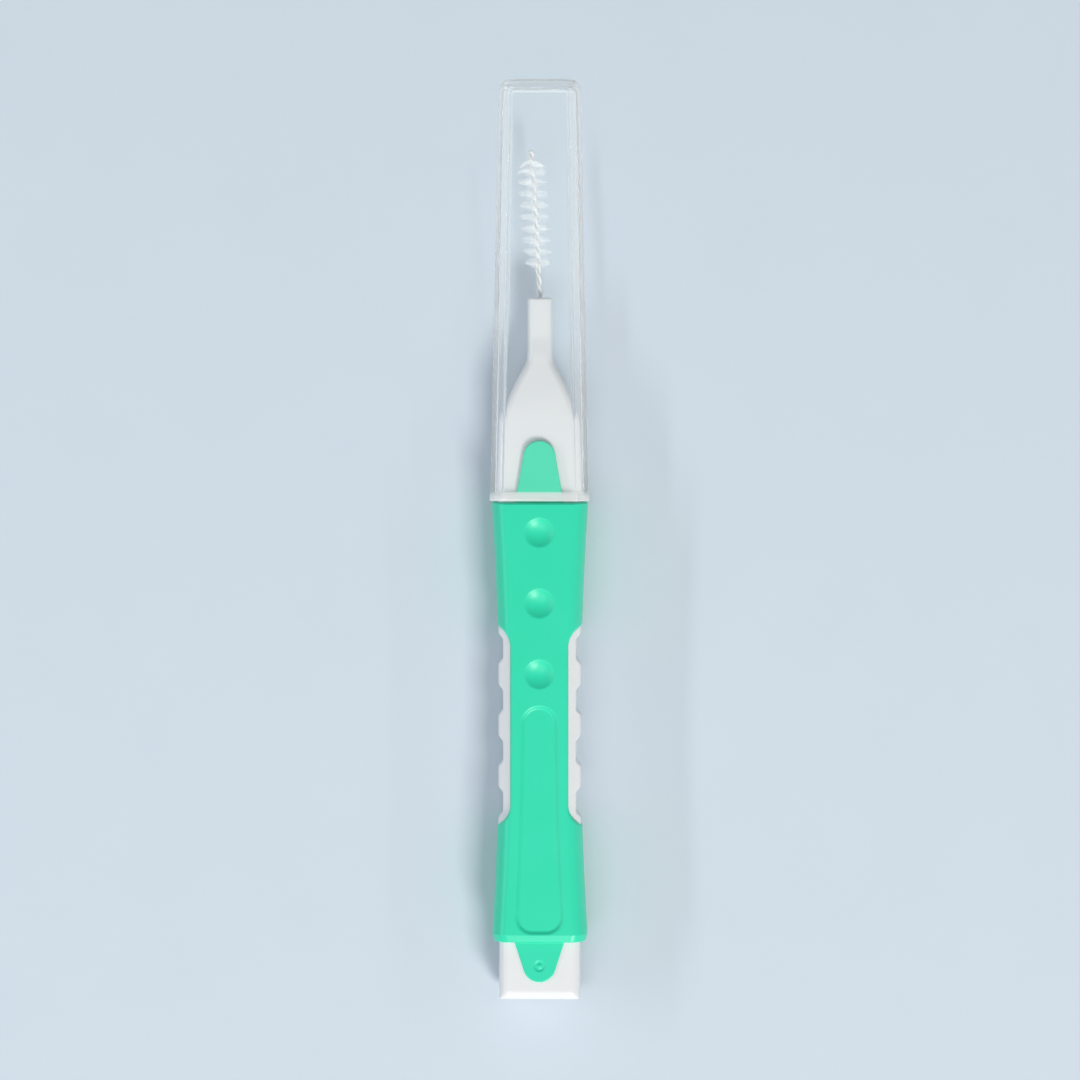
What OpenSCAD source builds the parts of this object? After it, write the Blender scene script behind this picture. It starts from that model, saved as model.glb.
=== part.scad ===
// Interdental brush: a plastic core with a soft grip moulded over it, a coated twisted wire with
// nylon bristles, and a push-on travel cap. It lies on its back, with +Y towards the bristles and
// +Z towards the face with the three dimples. Millimetres.

/* [Grip] */
// Length of the soft grip, from the tail to the collar
grip_len = 48.5; // [44:0.5:56]
// Width of the grip at both of its ends
grip_end_w = 10.6; // [10.2:0.1:12]
// How far each side is drawn in at the grip's waist
waist_in = 0.8; // [0.3:0.05:1]
// Wall of the grip at its sides, over the core
side_wall = 0.85; // [0.75:0.05:1]
// Depth of the grip from back to front
grip_depth = 7.1; // [6.8:0.1:8.2]
// Chamfer of the long edges, measured across the width
grip_edge_w = 1.05; // [0.6:0.05:1.3]
// Chamfer of the long edges, measured through the depth
grip_edge_d = 1.6; // [1:0.05:1.9]
// Length of the chamfered band at the tail end of the grip
grip_band_len = 0.8; // [0.4:0.1:1.4]
// How far that band draws the grip in
grip_band_in = 0.25; // [0.1:0.05:0.35]
// Chamfer of the grip's edge at the collar
collar_edge = 0.15; // [0.05:0.05:0.3]

/* [Windows and ribs] */
// Distance from the tail end of the grip to its side windows
window_from_tail = 12.8; // [11:0.2:15]
// Length of the side windows that show the ribbed core
window_len = 22.2; // [21:0.2:24]
// How far the windows reach in from each side of the waist: a band of grip is left between them
window_in = 1.3; // [1.1:0.05:1.6]
// Corner radius of the windows, seen from the front
window_face_r = 2.4; // [1:0.1:2.6]
// Corner radius of the windows, seen from the side
window_side_r = 2.2; // [1.2:0.1:2.6]
// How far the ribs stand proud of the grip's waist on each side
rib_proud = 0.05; // [-0.1:0.05:0.2]
// How far the ribbed core lies below the front of the band
rib_below_band = 0.45; // [0.3:0.05:0.6]
// Number of finger notches in each ribbed side
notch_count = 4; // [3:1:4]
// Distance from one notch to the next
notch_pitch = 5.64; // [5:0.02:5.8]
// Depth of a notch
notch_depth = 0.53; // [0.3:0.01:0.65]
// Length of the flat floor of a notch
notch_floor = 2.2; // [1.6:0.1:2.6]
// Length of the slope at each end of a notch
notch_slope = 0.6; // [0.4:0.1:0.9]

/* [Front of the grip] */
// Number of round thumb dimples
dimple_count = 3; // [1:1:3]
// Diameter of a dimple
dimple_d = 3.2; // [2.4:0.1:3.6]
// Depth of a dimple at its middle
dimple_depth = 0.4; // [0.2:0.05:0.5]
// Distance from one dimple to the next
dimple_pitch = 7.8; // [6.5:0.1:8]
// Distance from the collar end of the grip to the first dimple
dimple_from_collar = 3.3; // [3:0.1:4]
// Length of the long recessed panel
panel_len = 25.2; // [20:0.2:26]
// Distance from the tail end of the grip to the panel
panel_from_tail = 0.9; // [0.9:0.1:3]
// Width of the panel at its rounded head
panel_head_w = 4.0; // [3:0.1:4.6]
// Width of the panel at its foot
panel_foot_w = 5.3; // [4.7:0.1:5.6]
// Corner radius of the panel's foot
panel_foot_r = 1.9; // [1:0.1:2.2]
// Depth of the panel
panel_depth = 0.25; // [0.1:0.05:0.35]

/* [Core] */
// Depth of the bare tail
tail_depth = 5.15; // [4.9:0.05:5.2]
// Length of the bare tail behind the grip
tail_len = 6.5; // [5.5:0.1:9]
// Corner radius of the tail's end, seen from the side
tail_side_r = 1.1; // [0.6:0.1:1.8]
// Corner radius of the tail's end, seen from the front
tail_face_r = 0.4; // [0.2:0.1:1.2]
// Chamfer of the core's long edges
core_edge = 0.7; // [0.4:0.05:0.9]
// Step on each side from the grip's end down to the cap plug
plug_step = 0.75; // [0.65:0.05:0.9]
// How much narrower the cap plug is where its shoulders start
plug_taper = 0.6; // [0.3:0.1:1.2]
// Depth of the cap plug
plug_depth = 4.1; // [3.8:0.05:4.3]
// Length of the plug's long sides outside the grip
plug_side_len = 8.9; // [8:0.1:11]
// Length of the plug's shoulders
shoulder_len = 6.7; // [5.5:0.1:8]
// Depth of the plug where its shoulders meet the neck
shoulder_tip_depth = 2.9; // [2.6:0.1:3.4]
// Length of the slope from there down to the neck's own depth
neck_slope_len = 0.85; // [0.4:0.05:1.5]
// Chamfer of the plug's long edges
plug_edge = 0.5; // [0.3:0.05:0.7]
// Length of the plug's root inside the grip
plug_root = 3; // [2:0.5:5]
// Width of the neck
neck_w = 2.65; // [2.3:0.05:3]
// Depth of the neck
neck_depth = 2.35; // [2.1:0.05:2.6]
// Length of the neck
neck_len = 6.85; // [5:0.1:9]
// Chamfer of the neck's long edges
neck_edge = 0.5; // [0.3:0.05:0.6]

/* [Tongues] */
// Length of the grip's tongues on the plug
front_tongue_len = 6.8; // [5:0.1:7.5]
// Width of those tongues at the collar
front_tongue_w = 5.3; // [4:0.1:6]
// Radius of their tips
front_tongue_r = 1.75; // [1:0.05:1.9]
// How far those tongues stand proud of the plug
front_tongue_proud = 0.55; // [0.4:0.05:0.6]
// Length of the grip's tongues on the tail
tail_tongue_len = 4.45; // [3.8:0.05:5]
// Width of those tongues at the grip
tail_tongue_w = 5.5; // [4.6:0.1:6.2]
// Radius of their tips
tail_tongue_r = 1.8; // [1:0.05:2]
// How far those tongues stand proud of the tail
tail_tongue_proud = 0.2; // [0.1:0.05:0.3]
// Diameter of the moulding gate's dimple on the front tail tongue
gate_d = 1.3; // [0.9:0.1:1.5]
// Depth of the gate's dimple
gate_depth = 0.12; // [0.05:0.01:0.16]

/* [Wire and bristles] */
// Diameter of the steel wire
steel_d = 0.2; // [0.16:0.01:0.22]
// Diameter of the wire with its plastic coat
coat_d = 0.28; // [0.26:0.01:0.3]
// Slit between the two twisted strands, which holds the bristles
slit = 0.06; // [0.05:0.01:0.09]
// Length in which the two strands twist once round each other
twist_pitch = 2.54; // [2.3:0.02:3.4]
// Length of the wire inside the neck and plug
anchor_len = 9.5; // [6:0.5:12]
// Length of bare wire between the neck and the bristles
bare_len = 3.05; // [2:0.05:5]
// Diameter of the bristled head
head_d = 3.3; // [2.4:0.1:3.4]
// Length of bare wire beyond the bristles, to the end of its loop
wire_tip_len = 1.1; // [0.8:0.1:2]
// Number of filaments through the wire, each of which stands out on two sides
filament_count = 200; // [150:10:240]
// Width of a filament
filament_w = 0.1; // [0.06:0.01:0.12]
// Lean of the wire away from the handle's axis, in degrees
head_lean = 3.5; // [0:0.5:5]

/* [Cap] */
// Length of the cap
cap_len = 46.35; // [44.5:0.05:49]
// Room in the cap beyond the wire's tip: the bristled head is as long as this leaves it
cap_tip_room = 6.8; // [4:0.1:9]
// Wall of the cap
cap_wall = 0.75; // [0.6:0.05:0.85]
// Wall at the closed end of the cap
cap_end_wall = 1.0; // [0.8:0.1:1.6]
// Clearance between the cap and what it slides over
cap_fit = 0.1; // [0.08:0.01:0.2]
// Gap between the seated cap and the collar of the grip
cap_seat_gap = 0.15; // [0.03:0.01:0.3]
// How much narrower the cap is at its closed end than at its mouth
cap_taper_w = 1.8; // [1.2:0.1:2.4]
// Depth of the cap at its closed end
cap_end_depth = 5.3; // [5.1:0.1:6]
// Length of the cap, from its mouth, that keeps its depth
cap_parallel_len = 20; // [14:1:26]
// Chamfer of the cap's long edges
cap_edge = 1.25; // [0.8:0.05:1.5]
// Radius that rounds the closed end
cap_end_r = 1.2; // [0.8:0.1:1.4]
// Length of the bead round the cap's mouth
lip_len = 0.8; // [0.5:0.1:1.2]
// How far that bead stands proud of the cap
lip_proud = 0.1; // [0.05:0.01:0.15]

/* [Hidden] */

// Clearance between the grip and the core that it is moulded over
mould_gap = 0.02;
// Clearance between the steel and its coat, and between the wire and the hole that holds it
wire_gap = 0.01;
bore_gap = 0.03;
// Length by which a cutting shape runs past what it cuts
overrun = 1;
// Flats that stand for one quarter of a rounded end, and for a long curved side
end_steps = 5;
side_steps = 14;
// How the panel flares towards its foot, and how long the cap's bend is for its length
panel_flare_share = 1.6;
cap_bend_share = 0.12;
// The channel under the band, as a share of the band's width
channel_share = 0.8;
// Corners of a filament, sides of the steel and of its coat, and rings in one turn of the twist and
// in the tip's loop
filament_corners = 4;
wire_sides = 6;
rings_per_turn = 12;
loop_rings = 6;
// A filament's height as a share of its place along the wire, and its backing's width in coats
filament_high_share = 0.9;
backing_half_share = 0.43;
backing_thick_share = 0.3;
gate_nub_share = 0.35;

// Places along the brush, counted from the end of the tail
grip_y = tail_len;
collar_y = grip_y + grip_len;
shoulder_y = collar_y + plug_side_len;
neck_y = shoulder_y + shoulder_len;
wire_exit_y = neck_y + neck_len;
anchor_y = wire_exit_y - anchor_len;
head_y = wire_exit_y + bare_len;
mouth_y = collar_y + cap_seat_gap;
overall_len = mouth_y + cap_len;
wire_tip_y = overall_len - cap_end_wall - cap_tip_room;
head_len = wire_tip_y - wire_tip_len - head_y;
window_y = grip_y + window_from_tail;
ribs_mid_y = window_y + window_len / 2;
panel_y = grip_y + panel_from_tail;

grip_waist_w = grip_end_w - 2 * waist_in;
band_w = grip_waist_w - 2 * window_in;
tail_w = grip_end_w - 2 * side_wall;
rib_w = grip_waist_w + 2 * rib_proud;
rib_depth = grip_depth - 2 * rib_below_band;
plug_w = grip_end_w - 2 * plug_step;
plug_shoulder_w = plug_w - plug_taper;
cap_mouth_w = plug_w + 2 * (cap_fit + cap_wall);
cap_end_w = cap_mouth_w - cap_taper_w;
cap_mouth_depth = plug_depth + 2 * (front_tongue_proud + cap_fit + cap_wall);
// Length of the middle of the cap's bend from parallel to tapered
cap_bend = cap_len * cap_bend_share;
strand_r = (coat_d + slit) / 2;
loop_y = wire_tip_y - strand_r - coat_d / 2;

// A number of even steps from one value to the next
function steps(from, to, count) = [for (i = [0:count]) from + (to - from) * i / count];
// How much a rounded corner of radius r draws a side in, at a given distance from its end
function round_in(r, dist) = dist >= r ? 0 : r - sqrt(r * r - (r - dist) * (r - dist));
// Distances from an end at which its rounded corner is drawn
function round_at(r, count) = [for (i = [0:count - 1]) r * (1 - cos(90 * i / count))];

// Width of the grip at a place along the brush: its sides are one long hollow curve
function grip_w(y) = let (off_share = 2 * (y - grip_y) / grip_len - 1)
    grip_waist_w + (grip_end_w - grip_waist_w) * off_share * off_share;
// How much the chamfers at its ends draw the grip in
function band_in(y) =
    grip_band_in * max(0, 1 - (y - grip_y) / grip_band_len) + max(0, collar_edge - (collar_y - y));

// One of the flat profiles of a bar along Y: half widths at places, turned about the bar's axis
module profile(places, halves, turn, reach) {
    last = len(places) - 1;
    rotate([0, -turn, 0])
        linear_extrude(height = reach, center = true)
            polygon(concat(
                [for (i = [0:last]) [halves[i], places[i]]],
                [for (i = [last:-1:0]) [-halves[i], places[i]]]));
}

// A bar along Y with chamfered long edges, from its half widths and half depths at places
module shaped_bar(places, half_w, half_d, edge_w, edge_d, grow = 0) {
    last = len(places) - 1;
    edge = norm([edge_w, edge_d]);
    turn = atan2(edge_w, edge_d);
    at = [for (i = [0:last]) places[i] + (i == 0 ? -grow : i == last ? grow : 0)];
    corner = [for (i = [0:last])
        (edge_d * half_w[i] + edge_w * (half_d[i] - edge_d)) / edge + grow];
    reach = 4 * (max(half_w) + max(half_d));
    intersection() {
        profile(at, [for (h = half_w) h + grow], 0, reach);
        profile(at, [for (h = half_d) h + grow], 90, reach);
        profile(at, corner, turn, reach);
        profile(at, corner, -turn, reach);
    }
}

// Tail and spine of the core, with the tail's rounded end
module spine(grow = 0) {
    ends = round_at(max(tail_side_r, tail_face_r), end_steps);
    places = concat(
        ends,
        [max(tail_side_r, tail_face_r)],
        steps(grip_y + side_wall, collar_y - plug_root, side_steps));
    half_w = [for (y = places)
        (y < grip_y ? tail_w : grip_w(y) - 2 * side_wall) / 2 - round_in(tail_face_r, y)];
    half_d = [for (y = places) tail_depth / 2 - round_in(tail_side_r, y)];
    shaped_bar(places, half_w, half_d, core_edge, core_edge, grow);
}

// Half width of the plug at a place, down its tapered sides and round its shoulders to the neck
function plug_half_w(y) = y <= shoulder_y
    ? (plug_w + (plug_shoulder_w - plug_w) * max(0, y - collar_y) / plug_side_len) / 2
    : let (t = (neck_y - y) / shoulder_len)
        (neck_w + (plug_shoulder_w - neck_w) * (t + sin(90 * t)) / 2) / 2;

// Half depth of the plug, which thins along its shoulders and then slopes down to the neck
function plug_half_d(y) = y <= shoulder_y
    ? plug_depth / 2
    : y > neck_y
        ? neck_depth / 2
        : (shoulder_tip_depth
            + (plug_depth - shoulder_tip_depth) * sin(90 * (neck_y - y) / shoulder_len)) / 2;

// The plug that the cap fits over
module plug(grow = 0) {
    places = concat(
        [collar_y - plug_root - overrun, collar_y - plug_root],
        steps(shoulder_y, neck_y, side_steps),
        [neck_y + neck_slope_len]);
    half_w = [for (y = places) plug_half_w(min(y, neck_y))];
    half_d = [for (y = places) plug_half_d(y)];
    shaped_bar(places, half_w, half_d, plug_edge, plug_edge, grow);
}

// The square neck that holds the wire
module neck() {
    shaped_bar(
        [neck_y - overrun, wire_exit_y],
        [neck_w / 2, neck_w / 2],
        [neck_depth / 2, neck_depth / 2],
        neck_edge, neck_edge);
}

// Outline of the right-hand window, seen from the front
module window_face(grow = 0) {
    r = window_face_r + grow;
    inner = band_w / 2 - grow;
    low = window_y - grow;
    high = window_y + window_len + grow;
    polygon(concat(
        [for (a = steps(180, 270, end_steps * 2)) [inner + r + r * cos(a), low + r + r * sin(a)]],
        [[grip_end_w, low], [grip_end_w, high]],
        [for (a = steps(90, 180, end_steps * 2)) [inner + r + r * cos(a), high - r + r * sin(a)]]));
}

// Outline of the windows, seen from the side
module window_side(grow = 0) {
    r = window_side_r;
    half = grip_depth / 2 + grow;
    low = window_y - grow;
    high = window_y + window_len + grow;
    polygon(concat(
        [for (a = steps(180, 270, end_steps * 2)) [-half + r + r * cos(a), low + r + r * sin(a)]],
        [for (a = steps(270, 360, end_steps * 2)) [half - r + r * cos(a), low + r + r * sin(a)]],
        [for (a = steps(0, 90, end_steps * 2)) [half - r + r * cos(a), high - r + r * sin(a)]],
        [for (a = steps(90, 180, end_steps * 2)) [-half + r + r * cos(a), high - r + r * sin(a)]]));
}

// Everything within the outlines of both windows
module window_space(grow = 0) {
    intersection() {
        for (side = [0, 1])
            mirror([side, 0, 0])
                linear_extrude(height = 2 * grip_depth, center = true)
                    window_face(grow);
        rotate([0, -90, 0])
            linear_extrude(height = 3 * grip_end_w, center = true)
                window_side(grow);
    }
}

// Rails of core under the edges of the band
module rails(grow = 0) {
    for (side = [0, 1])
        mirror([side, 0, 0])
            translate([
                band_w / 2 * channel_share - grow,
                window_y + window_face_r - grow,
                -rib_depth / 2 - grow])
                cube([
                    band_w / 2 * (1 - channel_share) + window_face_r + grow,
                    window_len - 2 * window_face_r + 2 * grow,
                    rib_depth + 2 * grow]);
}

// The thicker blocks of core that fill the windows, with their rails
module rib_blocks() {
    intersection() {
        union() {
            window_space();
            rails();
        }
        shaped_bar(
            [window_y, window_y + window_len],
            [rib_w / 2, rib_w / 2],
            [rib_depth / 2, rib_depth / 2],
            (rib_w - band_w) / 2 - mould_gap, (rib_w - band_w) / 2 - mould_gap);
    }
}

// Finger notches across both ribbed sides
module notches() {
    floor_x = rib_w / 2 - notch_depth;
    half_floor = notch_floor / 2;
    half_mouth = half_floor + notch_slope;
    for (side = [0, 1], i = [0:notch_count - 1])
        mirror([side, 0, 0])
            translate([0, ribs_mid_y + (i - (notch_count - 1) / 2) * notch_pitch, 0])
                linear_extrude(height = 2 * grip_depth, center = true)
                    polygon([
                        [floor_x, -half_floor],
                        [rib_w / 2, -half_mouth],
                        [rib_w / 2 + overrun, -half_mouth],
                        [rib_w / 2 + overrun, half_mouth],
                        [rib_w / 2, half_mouth],
                        [floor_x, half_floor]]);
}

module handle_core() {
    color("#e8ebec")
        difference() {
            union() {
                spine();
                plug();
                neck();
                rib_blocks();
            }
            notches();
            translate([0, anchor_y - bore_gap, 0])
                rotate([-90, 0, 0])
                    cylinder(h = anchor_len + bore_gap + overrun, r = strand_r + coat_d / 2 + bore_gap, $fn = 48);
        }
}

// A tongue's outline: its base across X at 0, and its round tip of radius r along +Y, which the
// straight sides run into
module tongue_face(length, width, r) {
    tip_y = length - r;
    turn = acos(r / norm([width / 2, tip_y])) - atan2(tip_y, width / 2);
    polygon(concat(
        [[-width / 2, -plug_root / 2], [width / 2, -plug_root / 2], [width / 2, 0]],
        [for (a = steps(turn, 180 - turn, end_steps * 3)) [r * cos(a), tip_y + r * sin(a)]],
        [[-width / 2, 0]]));
}

// Tongues of the grip on the front and back of the plug and of the tail
module tongues() {
    translate([0, collar_y, 0])
        linear_extrude(height = plug_depth + 2 * front_tongue_proud, center = true)
            tongue_face(front_tongue_len, front_tongue_w, front_tongue_r);
    translate([0, grip_y, 0])
        mirror([0, 1, 0])
            linear_extrude(height = tail_depth + 2 * tail_tongue_proud, center = true)
                tongue_face(tail_tongue_len, tail_tongue_w, tail_tongue_r);
}

// Shallow round hollows down the front
module dimples() {
    ball_r = (pow(dimple_d / 2, 2) + pow(dimple_depth, 2)) / (2 * dimple_depth);
    for (i = [0:dimple_count - 1])
        translate([
            0,
            collar_y - dimple_from_collar - i * dimple_pitch,
            grip_depth / 2 + ball_r - dimple_depth])
            sphere(r = ball_r, $fn = 96);
}

// The long recessed panel, with a round head and a wider foot
module panel() {
    head_r = panel_head_w / 2;
    foot = panel_foot_w / 2;
    flare_low = panel_foot_r;
    flare_high = panel_len - head_r;
    head_steps = 4 * end_steps;
    foot_turn = [for (i = [0:end_steps - 1]) let (a = 90 * i / end_steps)
        [foot - panel_foot_r + panel_foot_r * sin(a), panel_foot_r - panel_foot_r * cos(a)]];
    side = [for (y = steps(flare_low, flare_high, side_steps))
        [head_r + (foot - head_r) * pow((flare_high - y) / (flare_high - flare_low), panel_flare_share), y]];
    translate([0, panel_y, grip_depth / 2 - panel_depth])
        linear_extrude(height = panel_depth + overrun)
            polygon(concat(
                foot_turn,
                side,
                [for (i = [1:head_steps - 1]) let (a = 180 * i / head_steps)
                    [head_r * cos(a), flare_high + head_r * sin(a)]],
                [for (i = [len(side) - 1:-1:0]) [-side[i][0], side[i][1]]],
                [for (i = [end_steps - 1:-1:0]) [-foot_turn[i][0], foot_turn[i][1]]]));
}

// The round mark of the moulding gate, a dimple with a small nub in it
module gate_mark() {
    translate([0, grip_y - tail_tongue_len + tail_tongue_r, tail_depth / 2 + tail_tongue_proud])
        difference() {
            cylinder(h = 2 * gate_depth, d = gate_d, center = true, $fn = 48);
            cylinder(h = 3 * gate_depth, d = gate_d * gate_nub_share, center = true, $fn = 32);
        }
}

module grip_sleeve() {
    places = concat(
        [grip_y],
        steps(grip_y + grip_band_len, collar_y - collar_edge, side_steps),
        [collar_y]);
    color("#3be0b8")
        difference() {
            union() {
                shaped_bar(
                    places,
                    [for (y = places) grip_w(y) / 2 - band_in(y)],
                    [for (y = places) grip_depth / 2 - band_in(y)],
                    grip_edge_w, grip_edge_d);
                tongues();
            }
            spine(mould_gap);
            plug(mould_gap);
            rails(mould_gap);
            window_space(mould_gap);
            dimples();
            panel();
            gate_mark();
        }
}

// Sideways place of the wire's middle, which leans once it has left the neck
function lean_x(y) = -tan(head_lean) * max(0, y - wire_exit_y);
function leaned(p) = [p[0] + lean_x(p[1]), p[1], p[2]];
// Direction across the wire at a place along it, turned by a further angle
function across(y, more = 0) = let (a = 360 * (y - anchor_y) / twist_pitch + more) [cos(a), 0, sin(a)];

// The folded wire's centre line, as [point, outward direction], up one strand and down the other
wire_rings = ceil((loop_y - anchor_y) / twist_pitch * rings_per_turn);
wire_route = concat(
    [for (y = steps(anchor_y, loop_y, wire_rings)) [[0, y, 0] + strand_r * across(y), across(y)]],
    [for (a = steps(0, 180, loop_rings)) if (a > 0 && a < 180)
        let (out = cos(a) * across(loop_y) + [0, sin(a), 0]) [[0, loop_y, 0] + strand_r * out, out]],
    [for (y = steps(loop_y, anchor_y, wire_rings)) [[0, y, 0] - strand_r * across(y), -across(y)]]);

// One ring of points round the route, square to it
function wire_ring(i, r) = let (
        last = len(wire_route) - 1,
        along = wire_route[min(i + 1, last)][0] - wire_route[max(i - 1, 0)][0],
        out = wire_route[i][1],
        beside = cross(along, out) / norm(cross(along, out)),
        outward = cross(beside, along) / norm(cross(beside, along)))
    [for (k = [0:wire_sides - 1]) let (a = 360 * k / wire_sides)
        leaned(wire_route[i][0] + r * (cos(a) * outward + sin(a) * beside))];

function wire_points(r) = [for (i = [0:len(wire_route) - 1]) each wire_ring(i, r)];

// Triangles between neighbouring rings, from a first point, facing out or in
function wall_faces(first, facing_out) = let (n = wire_sides) [
    for (i = [0:len(wire_route) - 2], k = [0:n - 1])
        let (
            a = first + i * n + k,
            b = first + i * n + (k + 1) % n)
        each (facing_out
            ? [[a, a + n, b], [b, a + n, b + n]]
            : [[a, b, a + n], [b, b + n, a + n]])];

// Steel wire, folded at the tip and twisted on itself
module stem_wire() {
    n = wire_sides;
    last = (len(wire_route) - 1) * n;
    color("#b9bdc2")
        polyhedron(
            points = wire_points(steel_d / 2),
            faces = concat(
                wall_faces(0, true),
                [for (k = [1:n - 2]) [0, k, k + 1]],
                [for (k = [1:n - 2]) [last, last + k + 1, last + k]]));
}

// Plastic coat of the wire, a thin tube over its whole length
module wire_coating() {
    n = wire_sides;
    inner = len(wire_route) * n;
    last = (len(wire_route) - 1) * n;
    color("#eef1f2")
        polyhedron(
            points = concat(wire_points(coat_d / 2), wire_points(steel_d / 2 + wire_gap)),
            faces = concat(
                wall_faces(0, true),
                wall_faces(inner, false),
                [for (k = [0:n - 1]) let (m = (k + 1) % n) each [
                    [k, m, inner + k],
                    [m, inner + m, inner + k],
                    [last + k, inner + last + k, last + m],
                    [last + m, inner + last + k, inner + last + m]]]));
}

// Nylon filaments: a thin backing twists with the slit, and every cell of its edges is drawn out
// into one strand of four sides
module bristles() {
    cell = head_len / filament_count;
    backing_half = coat_d * backing_half_share;
    thick = slit * backing_thick_share;
    edge_points = [for (i = [0:filament_count], side = [1, -1], face = [1, -1])
        let (y = head_y + i * cell)
            leaned([0, y, 0] + side * backing_half * across(y, 90) + face * thick * across(y))];
    tip_points = [for (i = [0:filament_count - 1], side = [1, -1], up = [-1, 1], face = [1, -1])
        let (y = head_y + (i + 0.5) * cell)
            leaned([0, y + up * cell * filament_high_share / 2, 0]
                + side * head_d / 2 * across(y, 90) + face * filament_w / 2 * across(y))];
    tips = len(edge_points);
    color("#f4f6f7")
        polyhedron(
            points = concat(edge_points, tip_points),
            faces = [for (i = [0:filament_count - 1])
                let (
                    e = filament_corners * i,
                    n = e + filament_corners,
                    t = tips + 2 * e)
                    each concat(
                        quad(e + 2, e, n, n + 2),
                        quad(e + 1, e + 3, n + 3, n + 1),
                        i == 0 ? quad(e, e + 2, e + 3, e + 1) : [],
                        i == filament_count - 1 ? quad(n, n + 1, n + 3, n + 2) : [],
                        strand(e, e + 1, n, n + 1, t),
                        strand(e + 3, e + 2, n + 3, n + 2, t + filament_corners, true))]);
}

function quad(a, b, c, d) = [[a, b, c], [a, c, d]];
// Sides and tip of one strand, from the corners of its cell to its four tip points
function strand(low_front, low_back, high_front, high_back, t, turned = false) = let (
        tip = turned ? [t + 1, t, t + 3, t + 2] : [t, t + 1, t + 2, t + 3])
    concat(
        quad(low_front, low_back, tip[1], tip[0]),
        quad(high_back, high_front, tip[2], tip[3]),
        quad(high_front, low_front, tip[0], tip[2]),
        quad(low_back, high_back, tip[3], tip[1]),
        quad(tip[0], tip[1], tip[3], tip[2]));

// Cap's half depth at a distance from its mouth: parallel at first, then tapered
function cap_bent(s) = let (d = s - cap_parallel_len) (d + sqrt(d * d + cap_bend * cap_bend)) / 2;
function cap_half_d(s) = (cap_mouth_depth
    - (cap_mouth_depth - cap_end_depth) * (cap_bent(s) - cap_bent(0)) / (cap_bent(cap_len) - cap_bent(0))) / 2;
function cap_half_w(s) = (cap_mouth_w + (cap_end_w - cap_mouth_w) * s / cap_len) / 2;

// The cap's outer form, or its hollow when the wall is taken off, up to a given length
module cap_form(length, wall, end_r) {
    turns = round_at(end_r, end_steps);
    places = concat(
        steps(0, length - end_r, side_steps),
        [for (i = [end_steps - 1:-1:0]) length - turns[i]]);
    start = wall > 0 ? -overrun : 0;
    at = [for (s = places) mouth_y + (s == 0 ? start : s)];
    shaped_bar(
        at,
        [for (s = places) cap_half_w(s) - round_in(end_r, length - s) - wall],
        [for (s = places) cap_half_d(s) - round_in(end_r, length - s) - wall],
        cap_edge, cap_edge);
}

// Bead round the cap's mouth
module cap_lip() {
    places = [mouth_y, mouth_y + lip_proud, mouth_y + lip_len - lip_proud, mouth_y + lip_len];
    proud = [0, lip_proud, lip_proud, 0];
    shaped_bar(
        places,
        [for (i = [0:3]) cap_half_w(places[i] - mouth_y) + proud[i]],
        [for (i = [0:3]) cap_half_d(places[i] - mouth_y) + proud[i]],
        cap_edge, cap_edge);
}

module travel_cap() {
    color([0.86, 0.93, 0.96, 0.45])
        difference() {
            union() {
                cap_form(cap_len, 0, cap_end_r);
                cap_lip();
            }
            cap_form(cap_len - cap_end_wall, cap_wall, cap_end_r / 2);
        }
}

// Everything is drawn about the handle's axis from the tail's end, then set down on its back
module placed() {
    translate([0, -overall_len / 2, grip_depth / 2]) children();
}

placed() handle_core();
placed() grip_sleeve();
placed() stem_wire();
placed() wire_coating();
placed() bristles();
placed() travel_cap();
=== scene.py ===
import math

import bpy
import numpy as np
from mathutils import Matrix, Vector

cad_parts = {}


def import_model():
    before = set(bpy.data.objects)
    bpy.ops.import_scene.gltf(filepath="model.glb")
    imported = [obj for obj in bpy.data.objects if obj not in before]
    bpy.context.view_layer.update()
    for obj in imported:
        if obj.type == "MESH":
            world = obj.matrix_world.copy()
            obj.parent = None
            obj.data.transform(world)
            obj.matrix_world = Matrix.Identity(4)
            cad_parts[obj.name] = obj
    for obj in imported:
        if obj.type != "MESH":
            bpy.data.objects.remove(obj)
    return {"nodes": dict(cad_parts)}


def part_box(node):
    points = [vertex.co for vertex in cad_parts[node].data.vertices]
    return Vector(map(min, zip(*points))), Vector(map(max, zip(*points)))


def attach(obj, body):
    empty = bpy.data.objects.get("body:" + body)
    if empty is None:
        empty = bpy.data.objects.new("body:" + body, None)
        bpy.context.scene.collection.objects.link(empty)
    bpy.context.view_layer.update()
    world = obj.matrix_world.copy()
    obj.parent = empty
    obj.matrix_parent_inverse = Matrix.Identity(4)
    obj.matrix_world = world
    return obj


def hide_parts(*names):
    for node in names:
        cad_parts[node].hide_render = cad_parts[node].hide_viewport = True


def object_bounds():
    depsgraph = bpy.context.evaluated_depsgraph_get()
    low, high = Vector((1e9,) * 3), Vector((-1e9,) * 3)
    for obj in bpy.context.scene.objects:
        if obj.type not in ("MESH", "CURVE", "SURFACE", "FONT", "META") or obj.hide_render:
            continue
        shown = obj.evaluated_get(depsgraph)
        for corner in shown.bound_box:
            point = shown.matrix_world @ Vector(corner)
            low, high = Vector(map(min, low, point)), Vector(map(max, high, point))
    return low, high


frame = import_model()
cad_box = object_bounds()

MM = 0.001
SEED = 7
TAIL_END_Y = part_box("handle_core")[0].y
AXIS_Z = (cad_box[0].z + cad_box[1].z) / 2

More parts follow.
